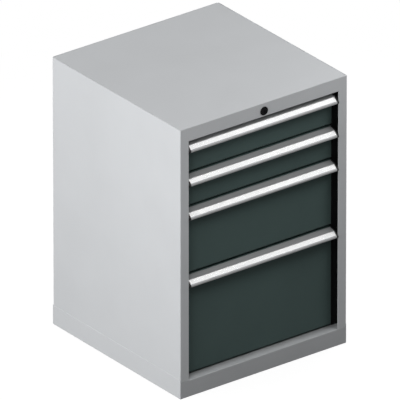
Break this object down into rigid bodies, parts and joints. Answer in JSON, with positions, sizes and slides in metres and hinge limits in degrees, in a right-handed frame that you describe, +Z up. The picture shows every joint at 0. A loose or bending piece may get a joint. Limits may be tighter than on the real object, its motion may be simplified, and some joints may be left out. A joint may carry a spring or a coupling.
{
  "type": "multi-drawer cabinet",
  "caption": "Floor-standing steel workshop cabinet with full-width drawers of graded height, aluminium label handles and a central key lock.",
  "frame": {"origin": "on the floor, under the middle of the whole cabinet with its handles", "axes": "+Z up, the drawers open towards -Y, +X to the right as seen from the front"},
  "size_m": [0.561, 0.572, 0.8],
  "materials": {
    "casing_paint": "light grey powder coat, fine texture",
    "drawer_paint": "dark grey-green powder coat, fine texture",
    "tray_paint": "grey powder coat",
    "frame_paint": "black powder coat",
    "handle_aluminium": "dull anodised, drawn along its length",
    "label_white": "blank white label",
    "clear_plastic": "clear cover",
    "black_plastic": "moulded, fine grain",
    "rail_steel": "zinc plated",
    "roller_nylon": "natural nylon",
    "screw_steel": "zinc plated",
    "lock_black": "black",
    "lock_metal": "dark metal"
  },
  "bodies": {
    "cabinet": {"side_panel_left": "casing_paint", "side_panel_right": "casing_paint", "back_panel": "casing_paint", "top_panel": "casing_paint", "front_top_rail": "casing_paint", "bottom_panel": "casing_paint", "base_front_rail": "casing_paint", "base_back_rail": "casing_paint", "base_side_rail_left": "casing_paint", "base_side_rail_right": "casing_paint", "back_screws": "screw_steel", "upright_front_left": "frame_paint", "upright_front_right": "frame_paint", "upright_rear_left": "frame_paint", "upright_rear_right": "frame_paint", "lock_housing": "lock_black", "lock_bar_guides": "black_plastic", "cabinet_rails_1": "rail_steel", "cabinet_rails_2": "rail_steel", "cabinet_rails_3": "rail_steel", "cabinet_rails_4": "rail_steel"},
    "lock_barrel": {"lock_cylinder": "lock_metal", "lock_cam": "rail_steel"},
    "lock_bolt": {"lock_bar": "rail_steel"},
    "drawer_1": {"drawer_rails_1": "rail_steel", "drawer_tray_1": "tray_paint", "drawer_front_1": "drawer_paint", "handle_1": "handle_aluminium", "handle_caps_1": "black_plastic", "label_strip_1": "label_white", "label_cover_1": "clear_plastic"},
    "carriage_1": {"middle_rails_1": "rail_steel", "middle_rollers_1": "roller_nylon"},
    "drawer_2": {"drawer_rails_2": "rail_steel", "drawer_tray_2": "tray_paint", "drawer_front_2": "drawer_paint", "handle_2": "handle_aluminium", "handle_caps_2": "black_plastic", "label_strip_2": "label_white", "label_cover_2": "clear_plastic"},
    "carriage_2": {"middle_rails_2": "rail_steel", "middle_rollers_2": "roller_nylon"},
    "drawer_3": {"drawer_rails_3": "rail_steel", "drawer_tray_3": "tray_paint", "drawer_front_3": "drawer_paint", "handle_3": "handle_aluminium", "handle_caps_3": "black_plastic", "label_strip_3": "label_white", "label_cover_3": "clear_plastic"},
    "carriage_3": {"middle_rails_3": "rail_steel", "middle_rollers_3": "roller_nylon"},
    "drawer_4": {"drawer_rails_4": "rail_steel", "drawer_tray_4": "tray_paint", "drawer_front_4": "drawer_paint", "handle_4": "handle_aluminium", "handle_caps_4": "black_plastic", "label_strip_4": "label_white", "label_cover_4": "clear_plastic"},
    "carriage_4": {"middle_rails_4": "rail_steel", "middle_rollers_4": "roller_nylon"}
  },
  "joints": [
    {"name": "lock_bar_slide", "type": "slide", "parent": "cabinet", "child": "lock_bolt", "axis": [0, 0, -1], "range_m": [0, 0.01414]},
    {"name": "lock_turn", "type": "hinge", "parent": "cabinet", "child": "lock_barrel", "pos_m": [0, -0.283, 0.777], "axis": [0, 1, 0], "range_deg": [0, 90]},
    {"name": "drawer_1_slide", "type": "slide", "parent": "cabinet", "child": "drawer_1", "axis": [0, -1, 0], "range_m": [0, 0.48]},
    {"name": "carriage_1_slide", "type": "slide", "parent": "cabinet", "child": "carriage_1", "axis": [0, -1, 0], "range_m": [0, 0.24]},
    {"name": "drawer_2_slide", "type": "slide", "parent": "cabinet", "child": "drawer_2", "axis": [0, -1, 0], "range_m": [0, 0.48]},
    {"name": "carriage_2_slide", "type": "slide", "parent": "cabinet", "child": "carriage_2", "axis": [0, -1, 0], "range_m": [0, 0.24]},
    {"name": "drawer_3_slide", "type": "slide", "parent": "cabinet", "child": "drawer_3", "axis": [0, -1, 0], "range_m": [0, 0.48]},
    {"name": "carriage_3_slide", "type": "slide", "parent": "cabinet", "child": "carriage_3", "axis": [0, -1, 0], "range_m": [0, 0.24]},
    {"name": "drawer_4_slide", "type": "slide", "parent": "cabinet", "child": "drawer_4", "axis": [0, -1, 0], "range_m": [0, 0.48]},
    {"name": "carriage_4_slide", "type": "slide", "parent": "cabinet", "child": "carriage_4", "axis": [0, -1, 0], "range_m": [0, 0.24]}
  ],
  "couplings": [
    {"joint": "lock_turn", "follows": "lock_bar_slide", "rad_per_m": 111.08},
    {"joint": "carriage_1_slide", "follows": "drawer_1_slide", "ratio": 0.5},
    {"joint": "carriage_2_slide", "follows": "drawer_2_slide", "ratio": 0.5},
    {"joint": "carriage_3_slide", "follows": "drawer_3_slide", "ratio": 0.5},
    {"joint": "carriage_4_slide", "follows": "drawer_4_slide", "ratio": 0.5}
  ]
}
